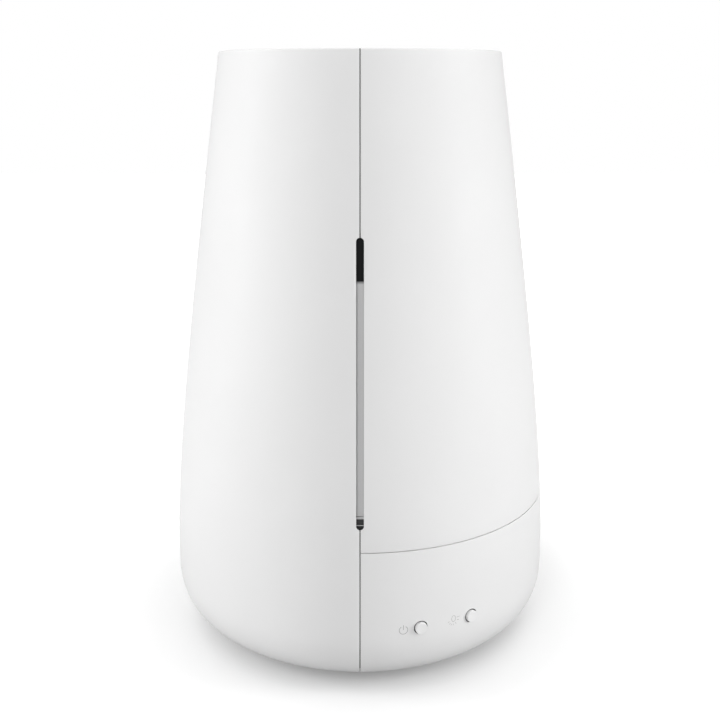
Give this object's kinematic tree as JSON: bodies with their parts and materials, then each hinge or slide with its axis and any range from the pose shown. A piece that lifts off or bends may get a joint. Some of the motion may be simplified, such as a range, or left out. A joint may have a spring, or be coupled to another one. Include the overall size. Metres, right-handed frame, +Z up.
{
  "type": "cool mist humidifier",
  "caption": "Tabletop ultrasonic cool mist humidifier with a lift-out top-fill tank, water window, turning nozzle and push buttons.",
  "frame": {"origin": "on the table, under the middle of the body, in the plane of the undersides of the feet", "axes": "+Z up, -Y towards the front with the window and the seam, +X towards the side with the tank and the buttons"},
  "size_m": [0.22, 0.22, 0.332],
  "materials": {
    "shell": "satin white moulded plastic with a very fine grain",
    "top_plastic": "satin white moulded plastic",
    "window_black": "black moulded plastic",
    "window_lens": "smoked grey translucent plastic",
    "tank_plastic": "clear moulded plastic, faintly grey",
    "inner_plastic": "plain white moulded plastic",
    "silicone": "milky soft silicone",
    "foot_rubber": "grey rubber",
    "screw_steel": "bright zinc-plated steel",
    "disc_steel": "polished steel disc",
    "heat_aluminium": "plain aluminium",
    "black_plastic": "black moulded plastic",
    "circuit_board": "green lacquered board",
    "lamp": "small moulded lamps",
    "float_foam": "fine closed foam",
    "magnet": "nickel-plated ring magnet",
    "wire_insulation": "black insulated wire"
  },
  "bodies": {
    "base": {"left_shell": "shell", "base_shell": "shell", "base_plate": "inner_plastic", "rubber_feet": "foot_rubber", "base_screws": "screw_steel", "reservoir_tray": "inner_plastic", "air_riser": "inner_plastic", "tray_screws": "screw_steel", "liner": "inner_plastic", "liner_screws": "screw_steel", "window_frame": "window_black", "window_lens": "window_lens", "light_strip": "circuit_board", "light_lamps": "lamp", "transducer": "disc_steel", "transducer_seal": "silicone", "transducer_holder": "heat_aluminium", "holder_screws": "screw_steel", "fan_frame": "black_plastic", "fan_screws": "screw_steel", "air_duct": "inner_plastic", "driver_board": "circuit_board", "driver_components": "black_plastic", "heat_sink": "heat_aluminium", "board_screws": "screw_steel", "float_clip": "inner_plastic", "float_sensor": "circuit_board", "power_jack": "black_plastic", "jack_pin": "screw_steel", "button_board": "circuit_board", "tact_switches": "black_plastic", "button_board_screws": "screw_steel", "jack_wires": "wire_insulation", "fan_wires": "wire_insulation", "transducer_wires": "wire_insulation", "button_wires": "wire_insulation", "light_wires": "wire_insulation"},
    "tank": {"tank_shell": "shell", "tank_walls": "tank_plastic", "tank_base": "tank_plastic", "mist_funnel": "tank_plastic", "collar_gasket": "silicone", "fill_collar": "inner_plastic", "tank_handle": "inner_plastic", "mist_tube": "inner_plastic", "valve_cap": "inner_plastic", "cap_gasket": "silicone", "valve_cage": "inner_plastic", "valve_spring": "screw_steel"},
    "valve": {"valve_plunger": "inner_plastic", "valve_seal": "silicone"},
    "lid": {"lid": "top_plastic", "lid_gasket": "silicone"},
    "nozzle": {"nozzle": "top_plastic", "nozzle_clip": "inner_plastic"},
    "fan_rotor": {"fan_rotor": "black_plastic"},
    "float": {"float": "float_foam", "float_magnet": "magnet"},
    "power_button": {"power_button": "shell"},
    "light_button": {"light_button": "shell"}
  },
  "joints": [
    {"name": "tank_lift", "type": "slide", "parent": "base", "child": "tank", "axis": [0, 0, 1], "range_m": [0, 0.275]},
    {"name": "valve_travel", "type": "slide", "parent": "tank", "child": "valve", "axis": [0, 0, 1], "range_m": [-0.004, 0], "deforming": ["valve_spring"]},
    {"name": "lid_lift", "type": "slide", "parent": "tank", "child": "lid", "axis": [0, 0, 1], "range_m": [0, 0.05]},
    {"name": "nozzle_turn", "type": "hinge", "parent": "lid", "child": "nozzle", "pos_m": [0, 0, 0.3295], "axis": [0, 0, 1], "continuous": true},
    {"name": "fan_spin", "type": "hinge", "parent": "base", "child": "fan_rotor", "pos_m": [-0.05, 0, 0.021], "axis": [0, 0, 1], "continuous": true},
    {"name": "float_rise", "type": "slide", "parent": "base", "child": "float", "axis": [0, 0, 1], "range_m": [0, 0.008]},
    {"name": "power_press", "type": "slide", "parent": "base", "child": "power_button", "axis": [-0.289, 0.9573, 0], "range_m": [0, 0.0006], "stiffness_N_per_m": 600},
    {"name": "light_press", "type": "slide", "parent": "base", "child": "light_button", "axis": [-0.5388, 0.8425, 0], "range_m": [0, 0.0006], "stiffness_N_per_m": 600}
  ],
  "couplings": [
    {"joint": "valve_travel", "follows": "tank_lift", "ratio": -0.0145}
  ]
}
